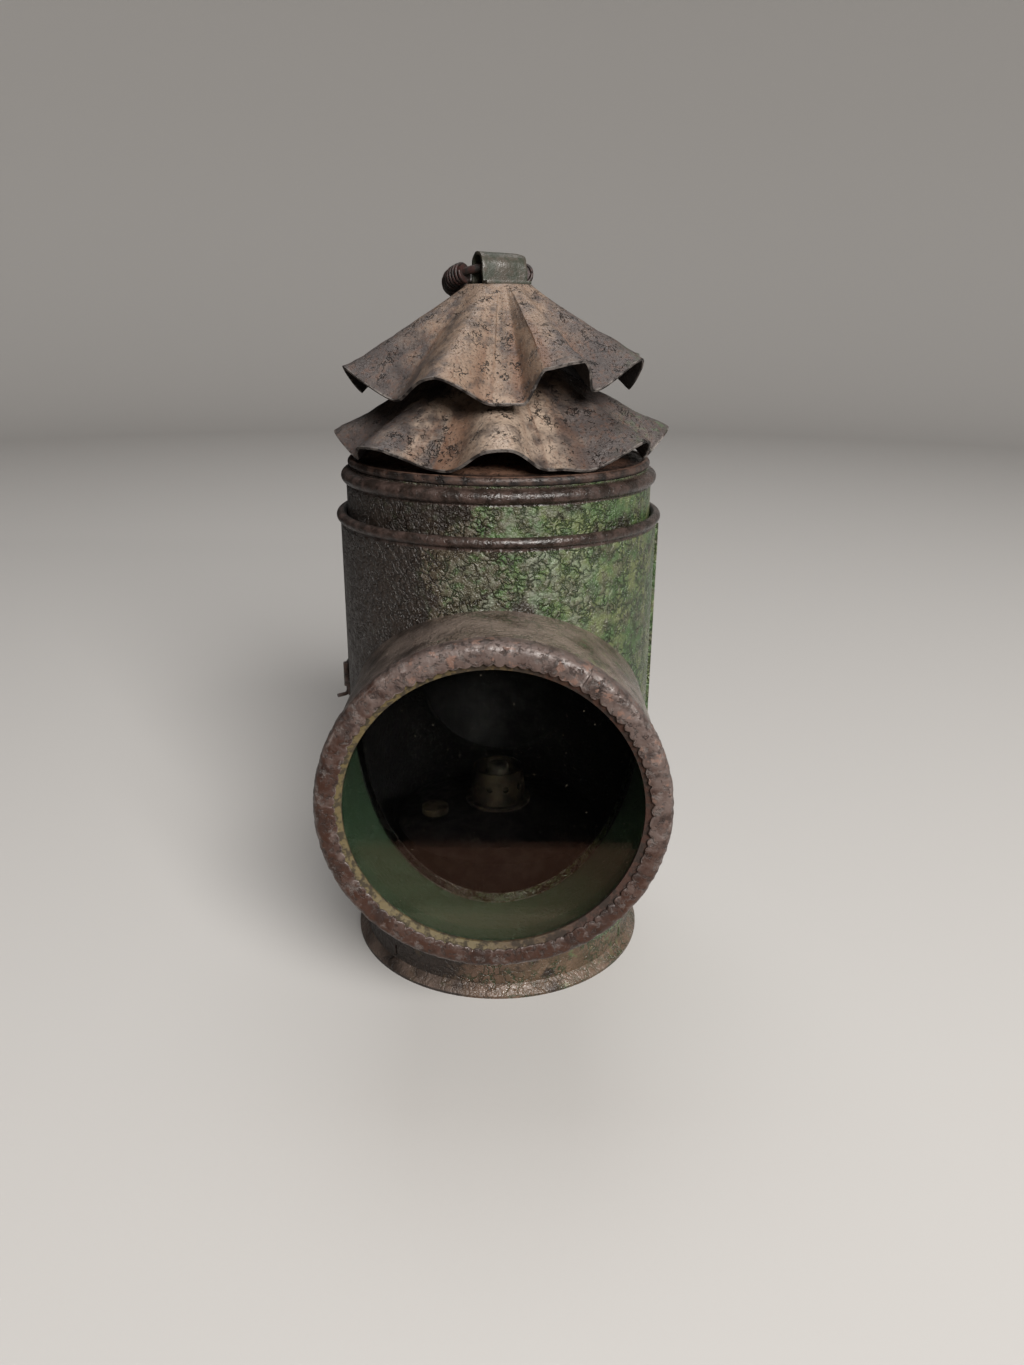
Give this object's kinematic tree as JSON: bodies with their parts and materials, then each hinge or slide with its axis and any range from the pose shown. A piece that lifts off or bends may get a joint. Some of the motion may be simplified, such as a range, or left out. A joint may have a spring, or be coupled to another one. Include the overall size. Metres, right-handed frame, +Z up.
{
  "type": "bullseye_lantern",
  "caption": "Old bullseye hand lantern of crackled green tinplate with a round lens tube, a turning shutter and two crimped smoke bells under a carrying ring",
  "frame": {"origin": "centre of the foot's underside, on the case's axis", "axes": "+Z is up, -Y is the way the lens looks, +X is to the right as seen from the front"},
  "size_m": [0.0853, 0.1119, 0.176],
  "materials": {
    "green_paint": "old green paint, crackled and flaking over rusty tinplate",
    "rusty_tin": "rusty tinplate with a dull brown and grey skin",
    "bell_tin": "dusty tan and grey-brown tinplate with bright worn edges",
    "dark_iron": "dark pitted rusty iron with worn bright spots",
    "bare_tin": "dull grey worn tin",
    "wound_wire": "dark reddish-brown oxidised wire",
    "pane_glass": "clear old glass with dust specks",
    "packing": "dried yellow-tan putty, red-brown in places",
    "sooty_tin": "black sooty tin",
    "old_brass": "tarnished brass",
    "silvered_tin": "silvered tin, dulled",
    "wick_cotton": "cotton, charred at the tip"
  },
  "bodies": {
    "case": {"foot_ring": "rusty_tin", "base_plate": "rusty_tin", "case_shell": "green_paint", "rim_wire": "dark_iron", "lens_tube": "green_paint", "lens_seat_ring": "rusty_tin", "lens_glass": "pane_glass", "lens_packing": "packing", "lens_bezel": "dark_iron", "case_hinges": "rusty_tin", "hinge_pins": "dark_iron", "catch_nub": "bare_tin", "font_socket": "sooty_tin", "font_pan": "sooty_tin", "font_top": "sooty_tin", "filler_cap": "old_brass", "burner_collar": "old_brass", "wick_tube": "old_brass", "wick": "wick_cotton", "draught_cone": "old_brass", "reflector": "silvered_tin", "reflector_bracket": "sooty_tin"},
    "shutter": {"shutter_cylinder": "green_paint", "cap_plate": "bell_tin", "chimney_core": "sooty_tin", "lower_bell": "bell_tin", "upper_bell": "bell_tin", "ring_strap": "bare_tin"},
    "carry_ring": {"carry_ring": "dark_iron", "ring_winding": "wound_wire"},
    "door": {"door_panel": "green_paint", "door_hinges": "rusty_tin", "door_catch": "rusty_tin", "lugs_right": "rusty_tin", "lugs_left": "rusty_tin", "belt_clip": "green_paint", "clip_rivets": "bare_tin"},
    "handle_right": {"handle_right": "dark_iron"},
    "handle_left": {"handle_left": "dark_iron"}
  },
  "joints": [
    {"name": "shutter_turn", "type": "hinge", "parent": "case", "child": "shutter", "pos_m": [0, 0, 0], "axis": [0, 0, 1], "range_deg": [0, 180]},
    {"name": "ring_swing", "type": "hinge", "parent": "shutter", "child": "carry_ring", "pos_m": [0, 0, 0.17261], "axis": [0.9063, 0.4226, 0], "range_deg": [0, 110]},
    {"name": "door_swing", "type": "hinge", "parent": "case", "child": "door", "pos_m": [-0.03995, 0, 0.054], "axis": [0, 0, 1], "range_deg": [0, 100]},
    {"name": "handle_right_swing", "type": "hinge", "parent": "door", "child": "handle_right", "pos_m": [0.03412, 0.02389, 0.066], "axis": [0, 0, -1], "range_deg": [0, 60]},
    {"name": "handle_left_swing", "type": "hinge", "parent": "door", "child": "handle_left", "pos_m": [-0.03412, 0.02389, 0.066], "axis": [0, 0, 1], "range_deg": [0, 60]}
  ]
}
